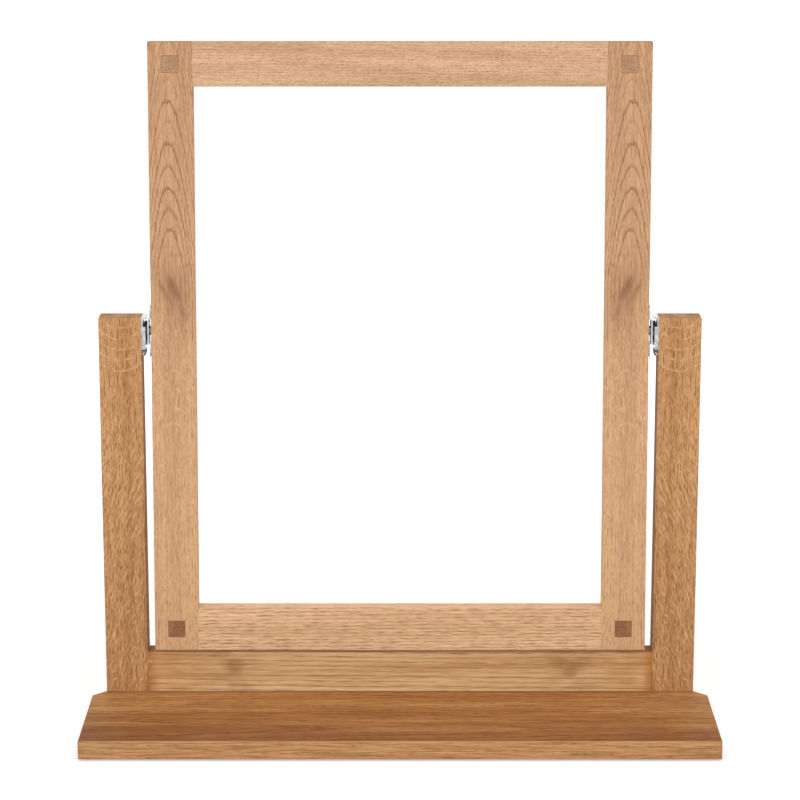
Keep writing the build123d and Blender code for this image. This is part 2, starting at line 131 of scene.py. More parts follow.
def knotMarks(tree, wood, board):  # a wide halo, then smoky streaks: leaning ellipses
    knot, marks = board.get("knot"), []
    for mark in knot["marks"] if knot else ():
        lean = (0, 0, math.radians(knot["lean"]))
        spread = {"Vector": wood["local"], "Location": (*mark["at"], 0), "Rotation": lean,
                  "Scale": (*mark["reach"], figure["knotDepth"])}
        inMark = addNode(tree, "Mapping", spread, vector_type="TEXTURE")
        away = addNode(tree, "VectorMath", {0: inMark}, operation="LENGTH").outputs["Value"]
        marks.append(addNode(tree, "MapRange", {"Value": away, "To Min": mark["share"], "To Max": 0},
                             interpolation_type="SMOOTHSTEP"))
    return marks


def earlyWood(tree, wood, board, marks):  # 1 at the dark start of a ring, 0 in its pale late wood
    noise, lineStart = wood["noise"], figure["lineStart"]
    toPith = {0: wood["local"], 1: (0, 1, 1), 2: (0, -board["pith"][0], -board["pith"][1])}
    fromPith = addNode(tree, "VectorMath", toPith, operation="MULTIPLY_ADD")
    ring = addNode(tree, "VectorMath", {0: fromPith}, operation="LENGTH").outputs["Value"]
    low, high, run = board["rise"]
    rise = addNode(tree, "MapRange", {"Value": wood["along"], "From Min": low, "From Max": high,
                                      "To Max": run})
    swells = [(rise, 1), (noise["wander"], board["wander"][0]), (noise["ripple"], board["ripple"][0])]
    if marks:  # the rings bulge round the knot
        swells.append((marks[0], board["knot"]["swell"]))
    for part, amount in swells:
        ring = addNode(tree, "Math", {0: part, 1: amount, 2: ring}, operation="MULTIPLY_ADD")
    count = addNode(tree, "Math", {0: ring, 1: board["ringWidth"]}, operation="DIVIDE")
    phase = addNode(tree, "Math", {0: count}, operation="FRACT")
    year = addNode(tree, "Math", {0: count}, operation="FLOOR")
    weight = addNode(tree, "TexWhiteNoise", {"W": year}, noise_dimensions="1D").outputs["Value"]
    weight = addNode(tree, "MapRange", {"Value": weight, "To Min": board["weakest"], "To Max": 1})
    onset = addNode(tree, "MapRange", {"Value": phase, "From Max": lineStart},
                    interpolation_type="SMOOTHSTEP")
    lineEnd = board["lineFade"]
    if "tipFade" in board:  # the tips of the arches stay thin
        share, reach = board["tipFade"]
        fromAxis = addNode(tree, "SeparateXYZ", {0: fromPith}).outputs["Y"]
        fromAxis = addNode(tree, "Math", {0: fromAxis}, operation="ABSOLUTE")
        lineEnd = addNode(tree, "MapRange", {"Value": fromAxis, "From Max": reach, "To Min": share,
                                             "To Max": lineEnd})
    fade = addNode(tree, "MapRange", {"Value": phase, "From Min": lineStart, "From Max": lineEnd,
                                      "To Min": 1, "To Max": 0})
    early = addNode(tree, "Math", {0: onset, 1: fade}, operation="MULTIPLY")
    return addNode(tree, "Math", {0: early, 1: weight}, operation="MULTIPLY")


def groundTone(tree, wood, board):  # broad bands under fine fibres
    noise, fibreShare = wood["noise"], 1 - board["bandShare"]
    blend = addNode(tree, "Math", {0: noise["bands"], 1: board["bandShare"]}, operation="MULTIPLY")
    blend = addNode(tree, "Math", {0: noise["fibre"], 1: fibreShare, 2: blend}, operation="MULTIPLY_ADD")
    for axis, amount in zip((wood["along"], wood["cross"]), board["drift"]):  # darker with each mm
        blend = addNode(tree, "Math", {0: axis, 1: amount, 2: blend}, operation="MULTIPLY_ADD")
    low, high = figure["toneLevels"]
    return addNode(tree, "MapRange", {"Value": blend, "From Min": low, "From Max": high})


def dashedLines(tree, wood, board, early):
    low, high = figure["dashLevels"]
    dashes = addNode(tree, "MapRange", {"Value": wood["noise"]["ticks"], "From Min": low, "From Max": high,
                                        "To Min": board["dashShare"] * board["lineShare"],
                                        "To Max": board["lineShare"]})
    factor = addNode(tree, "Math", {0: early, 1: dashes}, operation="MULTIPLY")
    if "faintBelow" in board:  # the lines fade towards the lower end
        low, high = board["faintBelow"]
        faint = addNode(tree, "MapRange", {"Value": wood["along"], "From Min": low, "From Max": high,
                                           "To Min": figure["faintest"]})
        factor = addNode(tree, "Math", {0: factor, 1: faint}, operation="MULTIPLY")
    return factor


def openPores(tree, wood, early):  # long and short ones, most of them in the early wood
    found = [addNode(tree, "MapRange", {"Value": wood["noise"][pattern], "From Min": low, "From Max": high})
             for pattern, (low, high) in figure["poreLevels"].items()]
    pores = addNode(tree, "Math", {0: found[0], 1: found[1]}, operation="MAXIMUM")
    crowd = addNode(tree, "Math", {0: early, 1: figure["earlyCrowd"], 2: figure["lateCrowd"]},
                    operation="MULTIPLY_ADD")
    return addNode(tree, "Math", {0: pores, 1: crowd}, operation="MULTIPLY")


# Each coat below is a way of blending, a factor and a colour to lay over the wood

def rayFlecks(tree, wood, board):  # pale ribbons that follow arched or slanting lines
    along, cross, noise = wood["along"], wood["cross"], wood["noise"]
    coats = []
    for fleck in board.get("flecks", ()):
        crossSquare = addNode(tree, "Math", {0: cross, 1: cross}, operation="MULTIPLY")
        line = along
        for part, amount in ((cross, "slant"), (crossSquare, "curve"), (noise["warp"], "warp")):
            line = addNode(tree, "Math", {0: part, 1: fleck[amount], 2: line}, operation="MULTIPLY_ADD")
        off = addNode(tree, "Math", {0: line, 1: fleck["spacing"] / 2}, operation="PINGPONG")
        thin = addNode(tree, "MapRange", {"Value": off, "From Min": fleck["width"] * figure["fleckCore"],
                                          "From Max": fleck["width"], "To Min": 1, "To Max": 0})
        torn = addNode(tree, "MapRange", {"Value": noise["breaks"], "From Min": fleck["breaks"],
                                          "From Max": fleck["breaks"] + figure["fleckTear"]})
        away, full = awayFrom(tree, along, fleck["at"]), fleck["reach"] * figure["fleckFull"]
        reach = addNode(tree, "MapRange", {"Value": away, "From Min": full, "From Max": fleck["reach"],
                                           "To Min": fleck["share"], "To Max": 0})
        factor = addNode(tree, "Math", {0: thin, 1: torn}, operation="MULTIPLY")
        factor = addNode(tree, "Math", {0: factor, 1: reach}, operation="MULTIPLY")
        coats.append(("MIX", factor, board["fleck"]))
    return coats


def knotSmoke(tree, wood, board, marks):
    if not marks:
        return []
    low, high = figure["raggedLevels"]
    ragged = addNode(tree, "MapRange", {"Value": wood["noise"]["breaks"], "From Min": low, "From Max": high,
                                        "To Min": figure["raggedLeast"]})
    smoke = marks[0]
    for mark in marks[1:]:
        smoke = addNode(tree, "Math", {0: mark, 1: ragged, 2: smoke}, operation="MULTIPLY_ADD")
    return [("MIX", smoke, board["knot"]["colour"])]


def warmTints(tree, wood, board):  # warmer blotches, as far to one side of the middle as to the other
    coats = []
    for tint in board.get("tints", ()):
        toSide = addNode(tree, "Math", {0: wood["along"]}, operation="ABSOLUTE")
        away = awayFrom(tree, toSide, tint["at"])
        near = addNode(tree, "MapRange", {"Value": away, "From Max": tint["reach"], "To Min": tint["share"],
                                          "To Max": 0}, interpolation_type="SMOOTHSTEP")
        low, high = tint["spread"]
        blotch = addNode(tree, "MapRange", {"Value": wood["noise"]["warp"], "From Min": low,
                                            "From Max": high})
        factor = addNode(tree, "Math", {0: blotch, 1: near}, operation="MULTIPLY")
        coats.append(("MIX", factor, tint["colour"]))
    return coats


def endsAndEdges(tree, wood, board, poreFactor):  # browner end grain, and edge faces with streaks of their own; on the posts and the cross rail this edge coat is painted shade
    start, end = figure["streakLevels"]
    streaks = addNode(tree, "ValToRGB", {"Fac": wood["noise"]["fibre"]},
                      stops=((start, board["edge"]), (end, board["edgeDark"])))
    streaks = addNode(tree, "Mix", {"Factor": poreFactor, "A": streaks, "B": linear(board["pore"])},
                      data_type="RGBA")
    low, high = figure["squareTo"]
    coats = []
    for way, blending, share, tinge in (("grain", "MULTIPLY", "endShare", board["end"]),
                                        ("across", "MIX", "edgeShare", streaks)):
        facing = addNode(tree, "VectorMath", {0: wood["normal"], 1: board[way]},
                         operation="DOT_PRODUCT").outputs["Value"]
        facing = addNode(tree, "Math", {0: facing}, operation="ABSOLUTE")
        facing = addNode(tree, "MapRange", {"Value": facing, "From Min": low, "From Max": high,
                                            "To Max": board[share]})
        coats.append((blending, facing, tinge))
    return coats


def upperFaceShadeAndHighlight(tree, wood, board):  # painted shade along the joint, and a painted highlight on the upward-facing rounded edges
    if "upperFace" not in board:
        return []
    upper = board["upperFace"]
    through = Vector(board["grain"]).cross(Vector(board["across"]))
    facing = addNode(tree, "VectorMath", {0: wood["normal"], 1: through},
                     operation="DOT_PRODUCT").outputs["Value"]
    facing = addNode(tree, "Math", {0: facing, 1: 0}, operation="MAXIMUM")
    # painted shade: darker within seamReach of the joint line, on faces that look up
    away = awayFrom(tree, wood["cross"], upper["seamAt"])
    jointShade = addNode(tree, "MapRange", {"Value": away, "From Max": upper["seamReach"],
                                      "To Min": upper["jointShadeShare"], "To Max": 0})
    within = addNode(tree, "Math", {0: wood["along"]}, operation="ABSOLUTE")
    within = addNode(tree, "Math", {0: within, 1: upper["seamHalf"]}, operation="LESS_THAN")
    within = addNode(tree, "Math", {0: within, 1: facing}, operation="MULTIPLY")
    jointShade = addNode(tree, "Math", {0: jointShade, 1: within}, operation="MULTIPLY")
    # painted highlight: paler where a rounded edge turns between up and sideways
    upShare = addNode(tree, "Math", {0: facing, 1: facing}, operation="MULTIPLY")
    sideShare = addNode(tree, "Math", {0: 1, 1: upShare}, operation="SUBTRACT")
    paintedHighlight = addNode(tree, "Math", {0: upShare, 1: sideShare}, operation="MULTIPLY")
    topShare = 4 * upper["paintedHighlightShare"]  # the product is a quarter at most, halfway round an edge
    paintedHighlight = addNode(tree, "Math", {0: paintedHighlight, 1: topShare}, operation="MULTIPLY")
    return [("MIX", jointShade, board["pore"]), ("MIX", paintedHighlight, upper["paintedHighlight"])]


def timber(name, board):
    material, tree, shader = startMaterial(name)
    place = addNode(tree, "TexCoord")
    spot = place.outputs["Object"]
    if board.get("bookMatched"):  # both pieces lie behind and above the origin, so only X folds over
        spot = addNode(tree, "VectorMath", {0: spot}, operation="ABSOLUTE")
    local = localMillimetres(tree, spot, board)
    axes = addNode(tree, "SeparateXYZ", {0: local})
    patterns = {pattern: (*board[pattern][-2:], detail) for pattern, detail in figure["detail"].items()}
    noise = stretchedNoise(tree, local, board["seed"], patterns, board["throughShare"])
    wood = {"local": local, "along": axes.outputs["X"], "cross": axes.outputs["Y"],
            "normal": place.outputs["Normal"], "noise": noise}
    marks = knotMarks(tree, wood, board)
    early = earlyWood(tree, wood, board, marks)
    pores = openPores(tree, wood, early)
    poreFactor = addNode(tree, "Math", {0: pores, 1: board["poreShare"]}, operation="MULTIPLY")
    tone = groundTone(tree, wood, board)
    ramp = ((0.0, board["light"]), (0.5, board["middle"]), (1.0, board["dark"]))
    colour = addNode(tree, "ValToRGB", {"Fac": tone}, stops=ramp)
    coats = [("MIX", dashedLines(tree, wood, board, early), board["line"]),
             ("MIX", poreFactor, board["pore"]), *rayFlecks(tree, wood, board),
             *knotSmoke(tree, wood, board, marks), *warmTints(tree, wood, board),
             *endsAndEdges(tree, wood, board, poreFactor), *upperFaceShadeAndHighlight(tree, wood, board)]
    for blending, factor, coat in coats:
        over = linear(coat) if isinstance(coat, str) else coat
        colour = addNode(tree, "Mix", {"Factor": factor, "A": colour, "B": over},
                         data_type="RGBA", blend_type=blending)
    height = addNode(tree, "Math", {0: pores, 1: -figure["poreDepth"], 2: noise["fibre"]},
                     operation="MULTIPLY_ADD")
    relief = addNode(tree, "Bump", {"Height": height, "Strength": figure["bump"],
                                    "Distance": figure["bumpHeight"] * millimetre})
    low, high = board["gloss"]
    gloss = addNode(tree, "MapRange", {"Value": tone, "To Min": low, "To Max": high})
    wire(tree, shader, {"Base Color": colour, "Roughness": gloss, "Normal": relief,
                        "IOR": figure["lacquerIor"], "Specular IOR Level": figure["lacquerShine"]})
    return material


# Where the pieces lie: the leaning frame turns about the hinge line

tilt = math.radians(4)  # how far the frame leans back at rest
frameUp = (0, math.sin(tilt), math.cos(tilt))
frameBack = (0, math.cos(tilt), -math.sin(tilt))
hinge = Vector(frame["joints"][0]["pos_m"])
frameSpots = {  # mm across, up and back from the middle of the hinge line
    "stile": (216, 0, 0), "topRail": (0, 253, 0), "bottomRail": (0, -290, 0), "topPeg": (216, 254, 0),
    "bottomPeg": (216, -290, 0), "panel": (0, -18, 8), "foam": (0, -18.5, 5)}
standSpots = {  # mm from the origin
    "post": (266.5, 63.5, 206), "crossRail": (0, 62.5, 40), "board": (0, -7.5, 11), "dowel": (0, 63.5, 20)}


def onFrame(piece):
    across, up, back = frameSpots[piece]
    return hinge + millimetre * (Vector((across, 0, 0)) + up * Vector(frameUp) + back * Vector(frameBack))


def onStand(piece):
    return [length * millimetre for length in standSpots[piece]]


plainOak = {  # lengths in mm; wander and ripple start with how far they push a ring
    "wander": (3.0, 260, 40), "ripple": (0.9, 60, 9), "bands": (420, 15), "fibre": (30, 1.3),
    "pores": (10, 0.9), "ticks": (4, 0.7),  # drawn about three times as wide as real pores, so that they show
    "breaks": (16, 6), "warp": (26, 12), "throughShare": 1, "bandShare": 0.5, "drift": (0, 0),
    "pith": (8, 60), "ringWidth": 3.2, "rise": (-1000, 1000, 20), "weakest": 0.45, "lineFade": 0.5,
    "light": "#E0B68C", "middle": "#D0A277", "dark": "#BA885C", "line": "#8E6340", "lineShare": 0.5,
    "dashShare": 0.3, "pore": "#85582F", "poreShare": 0.55, "fleck": "#EBC89C", "end": "#B08C66",
    "endShare": 0.5, "edge": "#D9AE80", "edgeDark": "#B98C60", "edgeShare": 0.0, "gloss": (0.66, 0.74),
}

stileOak = timber("lacqueredOakStile", {  # arches above a leaning knot, pale flecks below it
    **plainOak, "bookMatched": True, "grain": frameUp, "across": (1, 0, 0), "centre": onFrame("stile"),
    "pith": (2, 10), "ringWidth": 2.0, "rise": (48.5, 298.5, 24.4), "weakest": 0.25, "tipFade": (0.26, 9),
    "wander": (1.8, 150, 26), "ripple": (1.0, 30, 5.5), "drift": (0.0004, 0), "faintBelow": (-20, 110),
    "light": "#D6AA80", "middle": "#CB9F79", "dark": "#BA8E6C", "line": "#7E5F49", "lineShare": 0.92,
    "dashShare": 0.5, "poreShare": 0.68, "endShare": 0.25,
    "knot": {"lean": 28, "swell": 1.8, "colour": "#8A6048", "marks": (
        {"at": (36, -2), "reach": (62, 30), "share": 0.34},
        {"at": (42, -1), "reach": (27, 6.5), "share": 0.58},
        {"at": (39, 8), "reach": (16, 3.4), "share": 0.5},
        {"at": (18, -10), "reach": (13, 5), "share": 0.45})},
    "flecks": ({"at": -52, "reach": 62, "slant": 0, "curve": 0.05, "warp": 9, "spacing": 17, "width": 1.3,
                "breaks": 0.46, "share": 0.3},),
    "seed": 4.0})
topRailOak = timber("lacqueredOakTopRail", {  # short fine pores in soft bands
    **plainOak, "grain": (1, 0, 0), "across": frameUp, "centre": onFrame("topRail"), "pith": (-70, 30),
    "ringWidth": 2.6, "bands": (160, 12), "fibre": (14, 1.2), "pores": (5, 0.9), "ticks": (3, 0.7),
    "light": "#DBB591", "middle": "#CCA583", "dark": "#BA9370", "lineShare": 0.3, "poreShare": 0.62,
    "seed": 11.0})
bottomRailOak = timber("lacqueredOakBottomRail", {  # straight close lines with long pores
    **plainOak, "grain": (1, 0, 0), "across": frameUp, "centre": onFrame("bottomRail"), "pith": (60, 40),
    "ringWidth": 3.0, "weakest": 0.6, "ripple": (0.6, 60, 9), "fibre": (36, 1.1), "pores": (17, 0.75),
    "ticks": (9, 0.65), "light": "#EBC89F", "middle": "#E1B991", "dark": "#D1A57A", "lineShare": 0.48,
    "dashShare": 0.45, "pore": "#744A27", "poreShare": 0.78, "seed": 17.0})
postOak = timber("lacqueredOakPost", {  # ray flecks: hanging arcs at the top, slanting ones below
    **plainOak, "bookMatched": True, "grain": (0, 0, 1), "across": (1, 0, 0), "centre": onStand("post"),
    "pith": (110, 6), "ringWidth": 2.4, "wander": (2, 200, 30), "fibre": (16, 1.6), "pores": (7, 0.9),
    "drift": (-0.00005, 0), "light": "#D5A575", "middle": "#C49365", "dark": "#AA7A4E", "line": "#8A5A31",
    "lineShare": 0.35, "pore": "#744A27", "poreShare": 0.95, "fleck": "#E2BC8E", "endShare": 0.0,
    # painted shade: these dark edge colours darken both side faces of the posts, standing in for the shade on
    # their inner sides
    "edge": "#744B2B", "edgeDark": "#644025", "edgeShare": 0.4,
    "flecks": ({"at": 158, "reach": 34, "slant": 0, "curve": -0.022, "warp": 4, "spacing": 10.5, "width": 1.2,
                "breaks": 0.4, "share": 0.45},
               {"at": -90, "reach": 230, "slant": 2.2, "curve": 0, "warp": 26, "spacing": 11, "width": 2.7,
                "breaks": 0.46, "share": 0.42}),
    "seed": 23.0})
crossRailOak = timber("lacqueredOakCrossRail", {  # long dark lines, with warm stains towards the ends
    **plainOak, "grain": (1, 0, 0), "across": (0, 0, 1), "centre": onStand("crossRail"), "pith": (-150, 40),
    "ringWidth": 5.0, "lineFade": 0.42, "wander": (5, 190, 30), "bands": (300, 6), "bandShare": 0.6,
    "fibre": (70, 1.5), "pores": (22, 0.8), "ticks": (20, 0.7), "light": "#ECC99C", "middle": "#E3BC8C",
    # painted shade: the dark edge colours darken the top and bottom faces, standing in for the shade under
    # the frame
    "dark": "#CB9B64", "line": "#966A41", "lineShare": 0.75, "edge": "#885528", "edgeDark": "#744520",
    "edgeShare": 0.6,
    "tints": ({"at": 250, "reach": 18, "spread": (0.1, 0.4), "share": 0.9, "colour": "#A45F22"},
              {"at": 225, "reach": 60, "spread": (0.2, 0.6), "share": 0.45, "colour": "#BA7C36"},
              {"at": 165, "reach": 34, "spread": (0.3, 0.6), "share": 0.55, "colour": "#96603A"}),
    "seed": 31.0})
boardOak = timber("lacqueredOakBoard", {  # browner than the frame, darkest along the front
    **plainOak, "grain": (1, 0, 0), "across": (0, 1, 0), "centre": onStand("board"), "pith": (-50, -30),
    "ringWidth": 6.0, "rise": (-300, 300, 16), "wander": (7, 220, 40), "bands": (220, 20), "fibre": (42, 1.5),
    "pores": (20, 1.8), "ticks": (9, 1.6), "throughShare": 0.5, "drift": (0, -0.0021), "light": "#D29B62",
    "middle": "#B57E4A", "dark": "#946038", "line": "#744724", "pore": "#603A1C", "poreShare": 0.6,
    "edge": "#D0A070", "edgeDark": "#A27448", "edgeShare": 0.85,
    # painted shade along the joint with the cross rail, and a painted highlight along the upper rounded edges
    "upperFace": {"seamAt": 58, "seamReach": 5, "seamHalf": 287, "jointShadeShare": 0.55, "paintedHighlight": "#E4BE92",
                  "paintedHighlightShare": 0.4},
    "seed": 41.0})
pegPalettes = {"top": ("#C19B80", "#AF866A", "#997056"), "bottom": ("#B38163", "#92644A", "#6F4630")}
pegWalnut = {}
for row, (light, middle, dark) in pegPalettes.items():  # end grain: dark, with close rings
    pegWalnut[row] = timber(f"{row}EndGrainWalnut", {
        **plainOak, "bookMatched": True, "grain": frameBack, "across": (1, 0, 0),
        "centre": onFrame(f"{row}Peg"), "pith": (20, -14), "ringWidth": 2.6, "fibre": (30, 0.9),
        "light": light, "middle": middle, "dark": dark, "line": dark, "pore": "#6A4228", "poreShare": 0.7,
        "endShare": 0.0, "seed": 53.0})
dowelBeech = timber("turnedBeechDowel", {  # pale and plain
    **plainOak, "grain": (0, 0, 1), "across": (1, 0, 0), "centre": onStand("dowel"), "light": "#E0BC92",
    "middle": "#D8B084", "dark": "#CBA176", "line": "#B98C60", "poreShare": 0.3, "gloss": (0.6, 0.7),
    "seed": 61.0})
print("timber materials made")


# Bare sanded plywood back panel: a pale rotary-cut face and stacked plies along its edges

def plywoodPanel(name, panel):
    material, tree, shader = startMaterial(name)
    place = addNode(tree, "TexCoord")
    local = localMillimetres(tree, place.outputs["Object"], panel)
    depth = addNode(tree, "SeparateXYZ", {0: local}).outputs["Z"]
    noise = stretchedNoise(tree, local, panel["seed"], panel["patterns"])
    flowShare, fibreShare = panel["flowShare"], 1 - panel["flowShare"]
    blend = addNode(tree, "Math", {0: noise["flow"], 1: flowShare}, operation="MULTIPLY")
    blend = addNode(tree, "Math", {0: noise["fibre"], 1: fibreShare, 2: blend}, operation="MULTIPLY_ADD")
    low, high = panel["toneLevels"]
    tone = addNode(tree, "MapRange", {"Value": blend, "From Min": low, "From Max": high})
    ramp = ((0.0, panel["light"]), (0.5, panel["middle"]), (1.0, panel["dark"]))
    colour = addNode(tree, "ValToRGB", {"Fac": tone}, stops=ramp)
    ply = addNode(tree, "Math", {0: depth, 1: panel["ply"]}, operation="PINGPONG")
    glueLine = addNode(tree, "MapRange", {"Value": ply, "From Max": panel["glueWidth"],
                                          "To Min": panel["glueShare"], "To Max": 0})
    facing = addNode(tree, "VectorMath", {0: place.outputs["Normal"], 1: frameBack},
                     operation="DOT_PRODUCT").outputs["Value"]
    facing = addNode(tree, "Math", {0: facing}, operation="ABSOLUTE")
    edge = addNode(tree, "Math", {0: facing, 1: panel["edgeTurn"]}, operation="LESS_THAN")
    glueLine = addNode(tree, "Math", {0: glueLine, 1: edge}, operation="MULTIPLY")
    low, high = panel["speckLevels"]
    specks = addNode(tree, "MapRange", {"Value": noise["specks"], "From Min": low, "From Max": high,
                                        "To Max": panel["speckShare"]})
    for mark in (glueLine, specks):
        colour = addNode(tree, "Mix", {"Factor": mark, "A": colour, "B": linear(panel["glue"])},
                         data_type="RGBA")
    relief = addNode(tree, "Bump", {"Height": noise["fibre"], "Strength": panel["bump"],
                                    "Distance": panel["bumpHeight"] * millimetre})
    wire(tree, shader, {"Base Color": colour, "Roughness": panel["rough"], "Normal": relief,
                        "IOR": panel["ior"]})
    return material


panelPlywood = plywoodPanel("sandedPlywoodPanel", {
    "grain": frameUp, "across": (1, 0, 0), "centre": onFrame("panel"), "seed": 71.0,
    "patterns": {"flow": (380, 30, 2), "fibre": (60, 1.6, 3), "specks": (6, 1.2, 1)}, "flowShare": 0.6,
    "toneLevels": (0.35, 0.65), "light": "#E3C49A", "middle": "#D6B184", "dark": "#C69C6E", "ply": 1.33,
    "glue": "#7A5433", "glueWidth": 0.3, "glueShare": 0.7, "edgeTurn": 0.5, "speckLevels": (0.64, 0.74),
    "speckShare": 0.4, "bump": 0.3, "bumpHeight": 0.2, "rough": 0.68, "ior": 1.5})


# Zinc-plated pressed steel: bright and a little blue, with a faint rolled streak and dull patches

def zincSteel(name, plating):
    material, tree, shader = startMaterial(name)
    place = addNode(tree, "TexCoord").outputs["Object"]
    patch = addNode(tree, "TexNoise", {"Vector": place, "Scale": 1 / (plating["patch"] * millimetre),
                                       "Detail": plating["patchDetail"]})
    streaks = addNode(tree, "Mapping", {"Vector": place, "Scale": (1, 1, plating["streakShare"])})
    rolled = addNode(tree, "TexNoise", {"Vector": streaks, "Scale": 1 / (plating["streak"] * millimetre),
                                        "Detail": plating["streakDetail"]})
    start, end = plating["levels"]
    colour = addNode(tree, "ValToRGB", {"Fac": patch},
                     stops=((start, plating["dull"]), (end, plating["bright"])))
    low, high = plating["gloss"]
    gloss = addNode(tree, "MapRange", {"Value": rolled, "From Min": start, "From Max": end,
                                       "To Min": low, "To Max": high})
    relief = addNode(tree, "Bump", {"Height": rolled, "Strength": plating["bump"],
                                    "Distance": plating["bumpHeight"] * millimetre})
    wire(tree, shader, {"Base Color": colour, "Metallic": 1, "Roughness": gloss, "Normal": relief})
    return material


plainZinc = {"patchDetail": 3, "streakDetail": 2, "levels": (0.3, 0.7), "gloss": (0.3, 0.46), "bump": 0.15,
             "bumpHeight": 0.05}
hingeSteel = zincSteel("zincPlatedHingeSteel", {
    **plainZinc, "patch": 6, "streak": 0.7, "streakShare": 0.12, "bright": "#BDC1C4", "dull": "#8F9498"})
screwSteel = zincSteel("zincPlatedScrewSteel", {
    **plainZinc, "patch": 2, "streak": 0.5, "streakShare": 1, "bright": "#BFC2C4", "dull": "#94999D"})


# Silvered float glass: a clean mirror in front, green cut edges, grey backing paint behind

def silveredGlass(name, glass):
    material, tree, shader = startMaterial(name)
    place = addNode(tree, "TexCoord")
    facing = addNode(tree, "VectorMath", {0: place.outputs["Normal"], 1: frameBack},
                     operation="DOT_PRODUCT").outputs["Value"]
    front = addNode(tree, "Math", {0: facing, 1: -glass["faceTurn"]}, operation="LESS_THAN")
    back = addNode(tree, "Math", {0: facing, 1: glass["faceTurn"]}, operation="GREATER_THAN")
    spotted = addNode(tree, "TexNoise", {"Vector": place.outputs["Object"],
                                         "Scale": 1 / (glass["mottle"] * millimetre)})
    start, end = glass["paintLevels"]
    paint = addNode(tree, "ValToRGB", {"Fac": spotted},
                    stops=((start, glass["paint"]), (end, glass["paintPale"])))
    colour = addNode(tree, "Mix", {"Factor": back, "A": linear(glass["edge"]), "B": paint}, data_type="RGBA")
    colour = addNode(tree, "Mix", {"Factor": front, "A": colour, "B": linear(glass["silver"])},
                     data_type="RGBA")
    gloss = addNode(tree, "MapRange", {"Value": front, "To Min": glass["rough"], "To Max": 0})
    wire(tree, shader, {"Base Color": colour, "Metallic": front, "Roughness": gloss, "IOR": glass["ior"]})
    return material


mirrorSilver = silveredGlass("silveredFloatGlass", {
    "silver": "#FEFEFE", "edge": "#5E8C78", "paint": "#6E7274", "paintPale": "#7F8385", "mottle": 3,
    "paintLevels": (0.3, 0.7), "faceTurn": 0.5, "rough": 0.25, "ior": 1.52})


# Soft and dark small parts: foam packing, pressed felt and rubber, each with a fine mottle

def mottled(name, stuff):
    material, tree, shader = startMaterial(name)
    place = addNode(tree, "TexCoord").outputs["Object"]
    gritSize = stuff["grit"] * millimetre
    grit = addNode(tree, "TexNoise", {"Vector": place, "Scale": 1 / gritSize, "Detail": stuff["gritDetail"]})
    cloud = addNode(tree, "TexNoise", {"Vector": place, "Scale": 1 / (stuff["cloud"] * millimetre),
                                       "Detail": stuff["cloudDetail"]})
    mixed = addNode(tree, "Math", {0: grit, 1: cloud}, operation="MULTIPLY")
    start, end = stuff["levels"]
    colour = addNode(tree, "ValToRGB", {"Fac": mixed}, stops=((start, stuff["dark"]), (end, stuff["light"])))
    relief = addNode(tree, "Bump", {"Height": grit, "Strength": stuff["bump"], "Distance": gritSize})
    wire(tree, shader, {"Base Color": colour, "Roughness": stuff["rough"], "Normal": relief,
                        "Sheen Weight": stuff["sheen"]})
    return material


plainMottle = {"gritDetail": 4, "cloudDetail": 2, "levels": (0.15, 0.4), "sheen": 0}
packingFoam = mottled("closedCellPackingFoam", {
    **plainMottle, "grit": 0.9, "cloud": 20, "dark": "#C4C1B8", "light": "#DAD7CE", "bump": 0.4,
    "rough": 0.85})
padFelt = mottled("pressedWoolFelt", {
    **plainMottle, "grit": 0.6, "cloud": 5, "dark": "#4E3A2B", "light": "#77604B", "bump": 0.8, "rough": 0.95,
    "sheen": 0.3})
washerRubber = mottled("mouldedWasherRubber", {
    **plainMottle, "grit": 0.4, "cloud": 6, "dark": "#1E1F20", "light": "#303234", "bump": 0.2,
    "rough": 0.55})
print("small-part materials made")


# Each CAD node takes its finish

finishes = {
    "base_board": boardOak, "cross_rail": crossRailOak, "top_rail": topRailOak, "bottom_rail": bottomRailOak,
    "post_dowels": dowelBeech, "mirror_glass": mirrorSilver, "packing_sheet": packingFoam,
    "back_panel": panelPlywood, "base_screws": screwSteel, "back_panel_screws": screwSteel,
}
for side in sides:
    finishes.update({f"{side}_{part}": hingeSteel for part in (
        "post_tray", "frame_bridge", "pivot_stud", "thrust_washer", "spring_washer", "lock_nut")})
    finishes.update({f"{side}_{part}": screwSteel for part in ("tray_screws", "bridge_screws")})
    finishes.update({f"{side}_post": postOak, f"{side}_stile": stileOak})
    finishes[f"{side}_friction_washer"] = washerRubber
    finishes.update({f"{row}_{side}_peg": pegWalnut[row] for row in pegWalnut})
    finishes.update({f"{row}_{side}_felt_pad": padFelt for row in ("front", "back")})
for node, finish in finishes.items():
    cadNodes[node].data.materials.clear()
    cadNodes[node].data.materials.append(finish)
print("finishes set on", len(finishes), "nodes; left plain:", sorted(set(cadNodes) - set(finishes)))


# Felt pads: pressed discs with a soft rim, glued under the board

